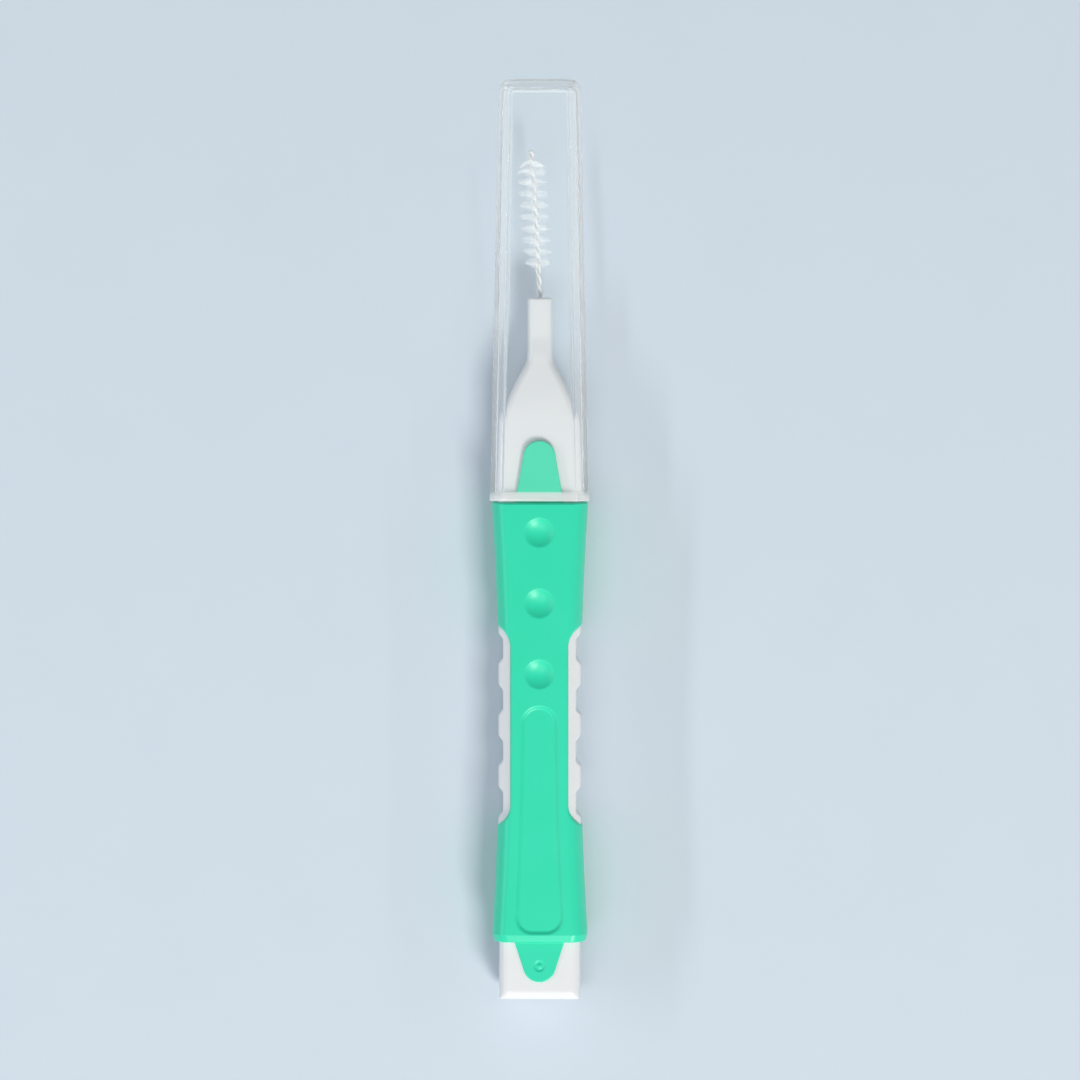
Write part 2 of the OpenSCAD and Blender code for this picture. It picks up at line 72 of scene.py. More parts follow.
# Grip, in millimetres
TAIL_LEN = 6.5
GRIP_LEN = 48.5
GRIP_END_W = 10.6
GRIP_WAIST_W = 9.0
GRIP_DEPTH = 7.1
GRIP_EDGE_W = 1.05
GRIP_EDGE_D = 1.6
GRIP_BAND_LEN = 0.8
GRIP_BAND_IN = 0.25
COLLAR_EDGE = 0.15
WINDOW_FROM_TAIL = 12.8
WINDOW_LEN = 22.2
WINDOW_FACE_R = 2.4
WINDOW_SIDE_R = 2.2
BAND_W = 6.4
DIMPLE_COUNT = 3
DIMPLE_D = 3.2
DIMPLE_DEPTH = 0.48
DIMPLE_PITCH = 7.8
DIMPLE_FROM_COLLAR = 3.3
PANEL_LEN = 25.2
PANEL_FROM_TAIL = 0.9
PANEL_HEAD_W = 4.0
PANEL_FOOT_W = 5.3
PANEL_FOOT_R = 1.9
PANEL_DEPTH = 0.25
PANEL_SLANT = 1.2
PANEL_FLARE = 1.6
GATE_RING_R = 0.4
GATE_GROOVE_R = 0.24
GATE_DEPTH = 0.12

# Core
TAIL_W = 8.9
TAIL_DEPTH = 5.15
TAIL_SIDE_R = 1.1
TAIL_FACE_R = 0.4
CORE_EDGE = 0.7
RIB_W = 9.1
RIB_BELOW_BAND = 0.45
CHANNEL_HALF_W = 2.56
NOTCH_COUNT = 4
NOTCH_PITCH = 5.64
NOTCH_DEPTH = 0.53
NOTCH_FLOOR = 2.2
NOTCH_SLOPE = 0.6
PLUG_W = 9.1
PLUG_SHOULDER_W = 8.5
PLUG_DEPTH = 4.1
PLUG_SIDE_LEN = 8.9
PLUG_ROOT = 3.0
STEM_EDGE = 0.5
SHOULDER_LEN = 6.7
SHOULDER_TIP_DEPTH = 2.9
NECK_SLOPE_LEN = 2.8
NECK_BLEND = 0.06
NECK_W = 2.65
NECK_DEPTH = 2.35
NECK_LEN = 6.85
MOULD_LAP = 0.3

# Tongues of the grip on the plug and on the tail
FRONT_TONGUE_LEN = 6.8
FRONT_TONGUE_W = 5.3
FRONT_TONGUE_R = 1.75
FRONT_TONGUE_PROUD = 0.55
TAIL_TONGUE_LEN = 4.45
TAIL_TONGUE_W = 5.5
TAIL_TONGUE_R = 1.8
TAIL_TONGUE_PROUD = 0.2

# Wire and bristles
STEEL_D = 0.2
COAT_D = 0.28
COAT_GAP = 0.01
SLIT = 0.06
BORE_GAP = 0.03
TWIST_PITCH = 2.54
ANCHOR_LEN = 9.5
BARE_LEN = 3.05
HEAD_LEN = 12.1
HEAD_D = 3.3
WIRE_TIP_LEN = 1.1
HEAD_LEAN = math.radians(3.5)
WIRE_SIDES = 14
RINGS_PER_TURN = 28
LOOP_RINGS = 12

# Filaments, drawn a little thicker than real ones, so that they show. REACH_SHARES says how far
# out along its half each ring of a filament lies, and THICK_SHARES how thick it is there.
FILAMENT_COUNT = 150
TIP_BUNCH_COUNT = 26
FILAMENT_D = 0.06
FILAMENT_SIDES = 6
REACH_SHARES = [-1, -0.985, -0.93, -0.7, -0.4, -0.12, 0.12, 0.4, 0.7, 0.93, 0.985, 1]
THICK_SHARES = [0.35, 0.8, 1, 1, 1, 0.9, 0.9, 1, 1, 1, 0.8, 0.35]
TRIM_SHARE = 0.05
TURN_SPREAD = 0.05
BEND_SPREAD = 0.07
SWING_SPREAD = 0.05
BEND_CURVE = 1.6
HEAD_FOOT_LEN = 1.6
HEAD_FOOT_SHARE = 0.2
TIP_BUNCH_LEN = 0.9
TIP_DROOP = 0.8
DROOP_DRAW_IN = 0.12

# Cap
CAP_LEN = 46.35
CAP_WALL = 0.75
CAP_END_WALL = 1.0
CAP_FIT = 0.1
CAP_SEAT_GAP = 0.15
CAP_END_W = 9.0
CAP_END_DEPTH = 5.3
CAP_PARALLEL_LEN = 20.0
CAP_BEND = 0.12 * CAP_LEN
CAP_EDGE = 1.25
CAP_EDGE_LEAST = 0.1
CAP_END_R = 1.2
CAP_SOFT = 0.4
CAP_SOFT_SHARE = 0.45
CAP_ARC_POINTS = 5
CAP_RIM_R = 0.12
CAP_RIM_SHARE = 0.3
CAP_WALL_RINGS = 24
CAP_END_STEP = 9
CAP_FLAT_RINGS = 5
CAP_FLAT_FROM = 0.1
CAP_FLAT_LEFT = 0.4
LIP_LEN = 0.8
LIP_PROUD = 0.1
LIP_FADE = 0.25

# Moulded edges: how round the mould leaves them
GRIP_SOFT = 0.55
WINDOW_SOFT = 0.32
PANEL_SOFT = 0.08
RIM_SOFT = 0.12
DIMPLE_SOFT = 0.06
CORE_SOFT = 0.25

# Places along the brush, from the end of the tail
GRIP_Y = TAIL_LEN
COLLAR_Y = GRIP_Y + GRIP_LEN
SHOULDER_Y = COLLAR_Y + PLUG_SIDE_LEN
NECK_Y = SHOULDER_Y + SHOULDER_LEN
WIRE_EXIT_Y = NECK_Y + NECK_LEN
ANCHOR_Y = WIRE_EXIT_Y - ANCHOR_LEN
HEAD_Y = WIRE_EXIT_Y + BARE_LEN
WIRE_TIP_Y = HEAD_Y + HEAD_LEN + WIRE_TIP_LEN
MOUTH_Y = COLLAR_Y + CAP_SEAT_GAP
WINDOW_MID_Y = GRIP_Y + WINDOW_FROM_TAIL + WINDOW_LEN / 2
PANEL_Y = GRIP_Y + PANEL_FROM_TAIL
SIDE_WALL = (GRIP_END_W - TAIL_W) / 2
RIB_DEPTH = GRIP_DEPTH - 2 * RIB_BELOW_BAND
STRAND_R = (COAT_D + SLIT) / 2
LOOP_Y = WIRE_TIP_Y - STRAND_R - COAT_D / 2
CAP_MOUTH_W = PLUG_W + 2 * (CAP_FIT + CAP_WALL)
CAP_MOUTH_DEPTH = PLUG_DEPTH + 2 * (FRONT_TONGUE_PROUD + CAP_FIT + CAP_WALL)


# Fields: each gives, for points, about how far outside a form they are, and less than 0 inside it

def both(a, b, r):
    """What two forms share, with the edge between them rounded to r."""
    round_off = np.hypot(np.maximum(a + r, 0), np.maximum(b + r, 0))
    return np.minimum(-r, np.maximum(a, b)) + round_off


def cut(a, b, r):
    """Form a without form b, with the rim rounded to r."""
    return both(a, -b, r)


def joined(a, b, r):
    """Forms a and b as one, with a fillet of r where they meet."""
    return -both(-a, -b, r)


def bar(x, z, half_w, half_d, edge_w, edge_d, soft):
    """A bar along Y with chamfered long edges."""
    edge = math.hypot(edge_w, edge_d)
    corner_at = (edge_d * half_w + edge_w * (half_d - edge_d)) / edge
    corner = (edge_d * np.abs(x) + edge_w * np.abs(z)) / edge - corner_at
    return both(both(np.abs(x) - half_w, corner, soft), np.abs(z) - half_d, soft)


def grip_w(y):
    """Width of the grip: its sides are one long hollow curve."""
    off = 2 * (y - GRIP_Y) / GRIP_LEN - 1
    return GRIP_WAIST_W + (GRIP_END_W - GRIP_WAIST_W) * off * off


def windows(x, y, z):
    """The space of both side windows."""
    along = np.abs(y - WINDOW_MID_Y) - WINDOW_LEN / 2
    face = both(BAND_W / 2 - np.abs(x), along, WINDOW_FACE_R)
    side = both(np.abs(z) - GRIP_DEPTH / 2, along, WINDOW_SIDE_R)
    return np.maximum(face, side)


def spine(x, y, z):
    """Tail and spine of the core."""
    half_w = np.where(y < GRIP_Y + SIDE_WALL, TAIL_W, grip_w(y) - 2 * SIDE_WALL) / 2
    half_d = TAIL_DEPTH / 2
    face = both(np.abs(x) - half_w, -y, TAIL_FACE_R)
    side = both(np.abs(z) - half_d, -y, TAIL_SIDE_R)
    corner = (np.abs(x) + np.abs(z) - half_w - half_d + CORE_EDGE) / math.sqrt(2)
    edged = both(both(face, corner, CORE_SOFT), side, CORE_SOFT)
    return np.maximum(edged, y - (COLLAR_Y - PLUG_ROOT))


def stem(x, y, z):
    """The plug that the cap fits over, its shoulders, and the square neck that holds the wire."""
    down = np.clip((y - COLLAR_Y) / PLUG_SIDE_LEN, 0, 1)
    sides = (PLUG_W + (PLUG_SHOULDER_W - PLUG_W) * down) / 2
    left = (NECK_Y - y) / SHOULDER_LEN
    up = np.minimum((left + np.hypot(left, NECK_BLEND)) / 2, 1)
    swell = np.sin(up * math.pi / 2)
    shoulders = (NECK_W + (PLUG_SHOULDER_W - NECK_W) * (up + swell) / 2) / 2
    slope = np.clip((y - NECK_Y) / NECK_SLOPE_LEN, 0, 1)
    slope = slope * slope * (3 - 2 * slope)
    thin = (SHOULDER_TIP_DEPTH + (PLUG_DEPTH - SHOULDER_TIP_DEPTH) * swell) / 2
    thin = thin - (SHOULDER_TIP_DEPTH - NECK_DEPTH) / 2 * slope
    half_w = np.where(y < SHOULDER_Y, sides, shoulders)
    half_d = np.where(y < SHOULDER_Y, PLUG_DEPTH / 2, thin)
    section = bar(x, z, half_w, half_d, STEM_EDGE, STEM_EDGE, CORE_SOFT)
    return np.maximum(both(section, y - WIRE_EXIT_Y, CORE_SOFT), COLLAR_Y - PLUG_ROOT - y)


def rib_blocks(x, y, z, grow):
    """The blocks of core that fill the windows and reach a little way under the grip."""
    rails = np.maximum(
        np.maximum(CHANNEL_HALF_W - np.abs(x), np.abs(x) - BAND_W / 2 - WINDOW_FACE_R),
        np.abs(y - WINDOW_MID_Y) - WINDOW_LEN / 2 + WINDOW_FACE_R)
    blocks = np.minimum(windows(x, y, z) - MOULD_LAP, rails)
    slope = (RIB_W - BAND_W) / 2
    return np.maximum(blocks, bar(x, z, RIB_W / 2, RIB_DEPTH / 2, slope, slope, CORE_SOFT)) - grow


def core_body(x, y, z, grow=0.0):
    """The core without its notches and its bore."""
    bare = np.minimum(spine(x, y, z), stem(x, y, z)) - grow
    return np.minimum(bare, rib_blocks(x, y, z, grow))


def notches(x, y):
    """Finger notches across both ribbed sides."""
    span = NOTCH_PITCH * (NOTCH_COUNT - 1) / 2
    along = y - WINDOW_MID_Y
    place = np.round(along / NOTCH_PITCH + span / NOTCH_PITCH)
    off = np.abs(along + span - np.clip(place, 0, NOTCH_COUNT - 1) * NOTCH_PITCH)
    slant = math.hypot(NOTCH_SLOPE, NOTCH_DEPTH)
    height = np.abs(x) - RIB_W / 2 + NOTCH_DEPTH
    slope = ((off - NOTCH_FLOOR / 2) * NOTCH_DEPTH - height * NOTCH_SLOPE) / slant
    return both(-height, slope, RIM_SOFT)


def core_form(x, y, z):
    """The whole moulded core."""
    body = cut(core_body(x, y, z), notches(x, y), RIM_SOFT)
    bore = np.maximum(np.hypot(x, z) - STRAND_R - COAT_D / 2 - BORE_GAP, ANCHOR_Y - BORE_GAP - y)
    return cut(body, bore, BORE_GAP)


def tongue(x, out, z, length, width, r, half_d):
    """A tongue of the grip, which narrows from its base to a round tip of radius r."""
    past = out - length + r
    turn = math.acos(r / math.hypot(width / 2, length - r)) - math.atan2(length - r, width / 2)
    side = np.abs(x) * math.cos(turn) + past * math.sin(turn)
    tip = past * math.cos(turn) > np.abs(x) * math.sin(turn)
    outline = np.where(tip, np.hypot(x, past), side) - r
    return np.maximum(both(outline, np.abs(z) - half_d, RIM_SOFT), -out - PLUG_ROOT / 2)


def dimple(x, y, z, at_y):
    """A shallow round hollow in the front."""
    ball_r = ((DIMPLE_D / 2) ** 2 + DIMPLE_DEPTH ** 2) / (2 * DIMPLE_DEPTH)
    ball_z = GRIP_DEPTH / 2 + ball_r - DIMPLE_DEPTH
    return np.sqrt(x * x + (y - at_y) ** 2 + (z - ball_z) ** 2) - ball_r


def panel(x, y, z):
    """The long recessed panel, with a round head, a wider foot and slanting sides."""
    head_r = PANEL_HEAD_W / 2
    head_y = PANEL_Y + PANEL_LEN - head_r
    foot_y = PANEL_Y + PANEL_FOOT_R
    down = np.clip((head_y - y) / (head_y - foot_y), 0, 1)
    half = head_r + (PANEL_FOOT_W - PANEL_HEAD_W) / 2 * down ** PANEL_FLARE
    outline = np.where(y > head_y, np.hypot(x, y - head_y) - head_r, np.abs(x) - half)
    outline = both(outline, PANEL_Y - y, PANEL_FOOT_R)
    down = GRIP_DEPTH / 2 - z
    sides = (outline + PANEL_SLANT * down) / math.hypot(1, PANEL_SLANT)
    return both(sides, down - PANEL_DEPTH, PANEL_SOFT)


def gate_mark(x, y, z):
    """The round groove that the moulding gate leaves on the front tail tongue."""
    away = np.hypot(x, y - GRIP_Y + TAIL_TONGUE_LEN - TAIL_TONGUE_R)
    above = z - TAIL_DEPTH / 2 - TAIL_TONGUE_PROUD + GATE_DEPTH - GATE_GROOVE_R
    return np.hypot(away - GATE_RING_R, above) - GATE_GROOVE_R


def grip_form(x, y, z):
    """The soft grip that is moulded over the core. Its hidden faces reach a little way into the
    core, so that the seam between the two is clean."""
    from_end = np.minimum(y - GRIP_Y, COLLAR_Y - y)
    band_in = GRIP_BAND_IN * np.clip(1 - (y - GRIP_Y) / GRIP_BAND_LEN, 0, 1)
    band_in = band_in + np.clip(COLLAR_EDGE - COLLAR_Y + y, 0, COLLAR_EDGE)
    half_w = grip_w(y) / 2 - band_in
    half_d = GRIP_DEPTH / 2 - band_in
    body = bar(x, z, half_w, half_d, GRIP_EDGE_W, GRIP_EDGE_D, GRIP_SOFT)
    body = both(body, -from_end, RIM_SOFT)
    body = cut(body, windows(x, y, z), WINDOW_SOFT)
    front = tongue(
        x, y - COLLAR_Y, z, FRONT_TONGUE_LEN, FRONT_TONGUE_W, FRONT_TONGUE_R,
        PLUG_DEPTH / 2 + FRONT_TONGUE_PROUD)
    rear = tongue(
        x, GRIP_Y - y, z, TAIL_TONGUE_LEN, TAIL_TONGUE_W, TAIL_TONGUE_R,
        TAIL_DEPTH / 2 + TAIL_TONGUE_PROUD)
    body = joined(body, np.minimum(front, rear), RIM_SOFT)
    for i in range(DIMPLE_COUNT):
        at_y = COLLAR_Y - DIMPLE_FROM_COLLAR - i * DIMPLE_PITCH
        body = cut(body, dimple(x, y, z, at_y), DIMPLE_SOFT)
    body = cut(body, panel(x, y, z), PANEL_SOFT)
    body = cut(body, gate_mark(x, y, z), RIM_SOFT / 2)
    return np.maximum(body, -core_body(x, y, z, -MOULD_LAP))


# From a field to a mesh. The grid and its boxes are in millimetres, and each form's count of
# faces is what its mesh keeps where it is thinned.

GRID_STEP = 0.1
GRID_PAST_END = 0.35
CORE_GRID_HALF_W = 4.95
CORE_GRID_HALF_D = 3.45
GRIP_GRID_HALF_W = 5.65
GRIP_GRID_HALF_D = 3.85
CORE_FACES = 46000
GRIP_FACES = 64000
SLAB = 40
NUDGE = 0.002
LEAST_STEEP = 0.05
LEAST_LENGTH = 1e-6
CORNERS = [(i, j, k) for i in (0, 1) for j in (0, 1) for k in (0, 1)]
EDGES = [
    (a, b) for a in CORNERS for b in CORNERS
    if a < b and sum(abs(p - q) for p, q in zip(a, b)) == 1]


def slopes(field, points):
    """The field's gradient at points."""
    found = np.empty_like(points)
    for axis in range(3):
        step = np.zeros(3)
        step[axis] = NUDGE
        ahead = field(*(points + step).T)
        behind = field(*(points - step).T)
        found[:, axis] = (ahead - behind) / (2 * NUDGE)
    return found


def settled(field, points, reach, rounds=4):
    """Points moved along the slope onto the form's surface."""
    for _ in range(rounds):
        slope = slopes(field, points)
        steep = np.maximum((slope ** 2).sum(1), LEAST_STEEP)
        move = slope * (-field(*points.T) / steep)[:, None]
        points = points + np.clip(move, -reach, reach)
    return points


def sampled(field, axes):
    """The field's values on a grid, slab by slab along Y to save memory."""
    x, y, z = (a.astype(np.float32) for a in axes)
    slabs = [
        field(x[:, None, None], y[None, i:i + SLAB, None], z[None, None, :]).astype(np.float32)
        for i in range(0, len(y), SLAB)]
    return np.concatenate(slabs, axis=1)


def netted(values, low, step):
    """One point in each cell that the surface crosses, and a face across each crossed grid line."""
    inside = values < 0
    shape = np.array(inside.shape) - 1
    count = np.zeros(shape, np.uint8)
    for i, j, k in CORNERS:
        count += inside[i:i + shape[0], j:j + shape[1], k:k + shape[2]]
    active = (count > 0) & (count < len(CORNERS))
    cells = np.argwhere(active)
    total = np.zeros(cells.shape)
    hits = np.zeros(len(cells))
    for a, b in EDGES:
        va = values[tuple((cells + a).T)].astype(float)
        vb = values[tuple((cells + b).T)].astype(float)
        hit = (va < 0) != (vb < 0)
        share = np.where(hit, va / np.where(hit, va - vb, 1), 0)
        total += np.where(hit[:, None], np.array(a) + share[:, None] * (np.array(b) - a), 0)
        hits += hit
    points = low + step * (cells + total / hits[:, None])
    ids = np.full(shape, -1, np.int64)
    ids[active] = np.arange(len(cells))
    quads = []
    for axis in range(3):
        one, two = np.eye(3, dtype=int)[(axis + 1) % 3], np.eye(3, dtype=int)[(axis + 2) % 3]
        here = np.take(inside, range(shape[axis]), axis)
        next_in = np.take(inside, range(1, shape[axis] + 1), axis)
        for leaving in (True, False):
            at = np.argwhere(here & ~next_in if leaving else ~here & next_in)
            ring = [ids[tuple((at - off).T)] for off in (0 * one, one, one + two, two)]
            quads.append(np.stack(ring if leaving else ring[::-1], axis=1))
    return points, np.concatenate(quads)


def placed(points):
    """Points in the frame, in metres."""
    return np.asarray(points) * MM + np.array([0, TAIL_END_Y, AXIS_Z])


def unplaced(points):
    """Points from the frame back in millimetres about the handle's axis."""
    return (np.asarray(points) - np.array([0, TAIL_END_Y, AXIS_Z])) / MM


def piece(name, points, faces, body, replaced):
    """A smooth mesh object that rides on a body and stands for a node of the model."""
    mesh = bpy.data.meshes.new(name)
    corners = [tuple(p) for p in placed(points)]
    mesh.from_pydata(corners, [], [tuple(int(i) for i in f) for f in faces])
    mesh.validate()
    mesh.shade_smooth()
    thing = bpy.data.objects.new(name, mesh)
    bpy.context.scene.collection.objects.link(thing)
    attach(thing, body)
    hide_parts(replaced)
    return thing


def thinned(points, quads, faces_left):
    """The mesh with fewer faces where it is flat."""
    mesh = bpy.data.meshes.new("dense")
    mesh.vertices.add(len(points))
    mesh.vertices.foreach_set("co", points.astype(np.float32).ravel())
    mesh.loops.add(quads.size)
    mesh.loops.foreach_set("vertex_index", quads.astype(np.int32).ravel())
    mesh.polygons.add(len(quads))
    mesh.polygons.foreach_set("loop_start", np.arange(0, quads.size, 4, dtype=np.int32))
    mesh.update(calc_edges=True)
    thing = bpy.data.objects.new("dense", mesh)
    bpy.context.scene.collection.objects.link(thing)
    thin = thing.modifiers.new("thin", "DECIMATE")
    thin.ratio = min(1.0, faces_left / (2 * len(quads)))
    less = thing.evaluated_get(bpy.context.evaluated_depsgraph_get()).to_mesh()
    co = np.empty(len(less.vertices) * 3, np.float32)
    less.vertices.foreach_get("co", co)
    found = [tuple(p.vertices) for p in less.polygons]
    bpy.data.objects.remove(thing)
    bpy.data.meshes.remove(mesh)
    return co.reshape(-1, 3).astype(float), found


def moulded(name, field, half_w, half_d, from_y, to_y, faces_left, body, replaced):
    """A piece whose surface is where its field is 0, with the normals that the field gives."""
    step = GRID_STEP
    low = (-half_w, from_y - GRID_PAST_END, -half_d)
    high = (half_w, to_y + GRID_PAST_END, half_d)
    axes = [np.arange(start, end + step, step) for start, end in zip(low, high)]
    points, quads = netted(sampled(field, axes), np.array(low, float), step)
    points = settled(field, points, step / 2)
    points, faces = thinned(points, quads, faces_left)
    points = settled(field, points, step / 4, rounds=2)
    thing = piece(name, points, faces, body, replaced)
    thing.data.normals_split_custom_set_from_vertices(field_normals(field, thing.data))
    return thing


def field_normals(field, mesh):
    """The field's direction at each of the mesh's points."""
    co = np.empty(len(mesh.vertices) * 3, np.float32)
    mesh.vertices.foreach_get("co", co)
    slope = slopes(field, unplaced(co.reshape(-1, 3)))
    slope /= np.maximum(np.linalg.norm(slope, axis=1), LEAST_LENGTH)[:, None]
    return [tuple(n) for n in slope]


# Wire and bristles

def across(y, more=0.0):
    """Direction across the wire at a place along it."""
    turn = 2 * math.pi * (y - ANCHOR_Y) / TWIST_PITCH + more
    return np.array([math.cos(turn), 0, math.sin(turn)])


def leaned(points):
    """Points moved with the lean of the wire outside the neck."""
    points = np.array(points, float)
    points[..., 0] -= math.tan(HEAD_LEAN) * np.maximum(0, points[..., 1] - WIRE_EXIT_Y)
    return points


def wire_route():
    """Centre line of the folded wire with its outward directions, up one strand and down the
    other."""
    rings = math.ceil((LOOP_Y - ANCHOR_Y) / TWIST_PITCH * RINGS_PER_TURN)
    ys = np.linspace(ANCHOR_Y, LOOP_Y, rings + 1)
    up = [(np.array([0, y, 0]) + STRAND_R * across(y), across(y)) for y in ys]
    loop = []
    for turn in np.linspace(0, math.pi, LOOP_RINGS + 1)[1:-1]:
        out = math.cos(turn) * across(LOOP_Y) + np.array([0, math.sin(turn), 0])
        loop.append((np.array([0, LOOP_Y, 0]) + STRAND_R * out, out))
    down = [(np.array([0, y, 0]) - STRAND_R * across(y), -across(y)) for y in ys[::-1]]
    return up + loop + down


def tube_rings(middles, outs, radii, sides):
    """Rings of points round a line, square to it."""
    rings = []
    for i, (middle, out, radius) in enumerate(zip(middles, outs, radii)):
        along = middles[min(i + 1, len(middles) - 1)] - middles[max(i - 1, 0)]
        beside = np.cross(along, out)
        beside /= np.linalg.norm(beside)
        outward = np.cross(beside, along)
        outward /= np.linalg.norm(outward)
        for turn in np.linspace(0, 2 * math.pi, sides, endpoint=False):
            rings.append(middle + radius * (math.cos(turn) * outward + math.sin(turn) * beside))
    return rings


def tube_faces(first, rings, sides, facing_out=True):
    """Faces between neighbouring rings."""
    faces = []
    for i in range(rings - 1):
        for k in range(sides):
            a = first + i * sides + k
            b = first + i * sides + (k + 1) % sides
            face = (a, a + sides, b + sides, b)
            faces.append(face if facing_out else face[::-1])
    return faces


def wire_coat():
    """The white coat, a thin tube along the whole folded and twisted wire."""
    sides = WIRE_SIDES
    route = wire_route()
    middles = [m for m, _ in route]
    outs = [o for _, o in route]
    count = len(route)
    points = tube_rings(middles, outs, [COAT_D / 2] * count, sides)
    points += tube_rings(middles, outs, [STEEL_D / 2 + COAT_GAP] * count, sides)
    inner = count * sides
    last = (count - 1) * sides
    faces = tube_faces(0, count, sides) + tube_faces(inner, count, sides, False)
    for k in range(sides):
        m = (k + 1) % sides
        faces.append((k, m, inner + m, inner + k))
        faces.append((last + k, inner + last + k, inner + last + m, last + m))
    return piece("wire_coat", leaned(points), faces, "handle", "wire_coating")


def filaments():
    """Nylon filaments, each pinched in the slit at its middle and trimmed at both ends."""
    rng = np.random.default_rng(SEED)
    sides = FILAMENT_SIDES
    rings = len(REACH_SHARES)
    radii = [FILAMENT_D / 2 * share for share in THICK_SHARES]
    head_end = HEAD_Y + HEAD_LEN
    points, faces = [], []
    even = HEAD_Y + HEAD_LEN * (np.arange(FILAMENT_COUNT) + 0.5) / FILAMENT_COUNT
    bunch = head_end - TIP_BUNCH_LEN * (np.arange(TIP_BUNCH_COUNT) + 0.5) / TIP_BUNCH_COUNT
    for y in np.concatenate((even, bunch)):
        way = across(y, math.pi / 2 + rng.normal(0, TURN_SPREAD))
        swing = across(y, rng.normal(0, TURN_SPREAD))
        foot = HEAD_FOOT_SHARE * math.exp(-(y - HEAD_Y) / HEAD_FOOT_LEN)
        reach = HEAD_D / 2 * (1 - foot) * (1 - TRIM_SHARE * rng.random())
        bends = rng.normal(0, BEND_SPREAD, 2)
        swings = rng.normal(0, SWING_SPREAD, 2)
        droop = TIP_DROOP * math.exp(-(head_end - y) / TIP_BUNCH_LEN)
        middles = []
        for s in REACH_SHARES:
            end = 0 if s < 0 else 1
            bend = bends[end] - droop
            middles.append(
                np.array([0, y + bend * abs(s) ** BEND_CURVE, 0])
                + way * reach * s * (1 - DROOP_DRAW_IN * droop * abs(s))
                + swing * swings[end] * abs(s) ** 2)
        first = len(points)
        points += tube_rings(middles, [np.array([0, 1.0, 0])] * rings, radii, sides)
        faces += tube_faces(first, rings, sides)
        last = first + (rings - 1) * sides
        faces.append(tuple(first + k for k in range(sides)))
        faces.append(tuple(last + k for k in reversed(range(sides))))
    return piece("nylon_filaments", leaned(points), faces, "handle", "bristles")


# Cap

def cap_bent(s):
    """How far down its taper the cap is, at a distance from its mouth."""
    past = s - CAP_PARALLEL_LEN
    return (past + math.hypot(past, CAP_BEND)) / 2


def cap_half_w(s):
    """Half the cap's width at a distance from its mouth."""
    return (CAP_MOUTH_W + (CAP_END_W - CAP_MOUTH_W) * s / CAP_LEN) / 2


def cap_half_d(s):
    """Half the cap's depth at a distance from its mouth."""
    down = (cap_bent(s) - cap_bent(0)) / (cap_bent(CAP_LEN) - cap_bent(0))
    return (CAP_MOUTH_DEPTH - (CAP_MOUTH_DEPTH - CAP_END_DEPTH) * down) / 2


def cap_ring(s, inset):
    """One ring of the cap: eight sides drawn in by inset, whose corners are softer further in."""
    half_w = cap_half_w(s) - inset
    half_d = cap_half_d(s) - inset
    edge = max(CAP_EDGE - (2 - math.sqrt(2)) * inset, CAP_EDGE_LEAST)
    soft = min((CAP_SOFT + inset / 3) * math.tan(math.pi / 8), CAP_SOFT_SHARE * edge)
    corners = []
    for sx, sz, first in ((1, 1, 0), (-1, 1, 1), (-1, -1, 0), (1, -1, 1)):
        pair = [(sx * half_w, sz * (half_d - edge)), (sx * (half_w - edge), sz * half_d)]
        corners += pair[::-1] if first else pair
    corners = [np.array(c) for c in corners]
    ring = []
    for i, corner in enumerate(corners):
        before = corners[i - 1] - corner
        after = corners[(i + 1) % len(corners)] - corner
        start = corner + before / np.linalg.norm(before) * soft
        end = corner + after / np.linalg.norm(after) * soft
        for t in np.linspace(0, 1, CAP_ARC_POINTS):
            x, z = (1 - t) ** 2 * start + 2 * t * (1 - t) * corner + t ** 2 * end
            ring.append((x, MOUTH_Y + s, z))
    return ring


def cap_stations(length, wall, end_r):
    """Distances from the mouth and insets, along the wall and round the closed end."""
    body = [(s, wall) for s in np.linspace(LIP_LEN * 2, length - end_r, CAP_WALL_RINGS)]
    turn = [math.radians(a) for a in range(CAP_END_STEP, 90 + CAP_END_STEP, CAP_END_STEP)]
    end = [(length - end_r + end_r * math.sin(a), wall + end_r * (1 - math.cos(a))) for a in turn]
    insets = np.linspace(
        wall + end_r + CAP_FLAT_FROM, CAP_END_DEPTH / 2 - CAP_FLAT_LEFT, CAP_FLAT_RINGS)
    return body + end + [(length, inset) for inset in insets]


def travel_cap():
    """The hollow cap: out from the mouth over the bead to the closed end, and the same inside."""
    rim = CAP_RIM_R
    near = rim * CAP_RIM_SHARE
    mouth = [(0, rim - LIP_PROUD), (near, near - LIP_PROUD), (rim, -LIP_PROUD)]
    bead = [(LIP_LEN - rim, -LIP_PROUD), (LIP_LEN, -LIP_PROUD / 2), (LIP_LEN + rim, 0)]
    outer = mouth + bead + cap_stations(CAP_LEN, 0, CAP_END_R)
    inner = [(0, CAP_WALL - rim), (near, CAP_WALL - near), (rim, CAP_WALL)]
    inner += cap_stations(CAP_LEN - CAP_END_WALL, CAP_WALL, CAP_END_R / 2)
    points = []
    for s, inset in outer + inner:
        points += cap_ring(s, inset)
    sides = len(cap_ring(0, 0))
    first_in = len(outer) * sides
    faces = tube_faces(0, len(outer), sides) + tube_faces(first_in, len(inner), sides, False)
    for k in range(sides):
        m = (k + 1) % sides
        faces.append((k, m, first_in + m, first_in + k))
    last = (len(outer) - 1) * sides
    last_in = first_in + (len(inner) - 1) * sides
    faces.append(tuple(last + k for k in reversed(range(sides))))
    faces.append(tuple(last_in + k for k in range(sides)))
    return piece("clear_cap", points, faces, "cap", "travel_cap")


# Materials

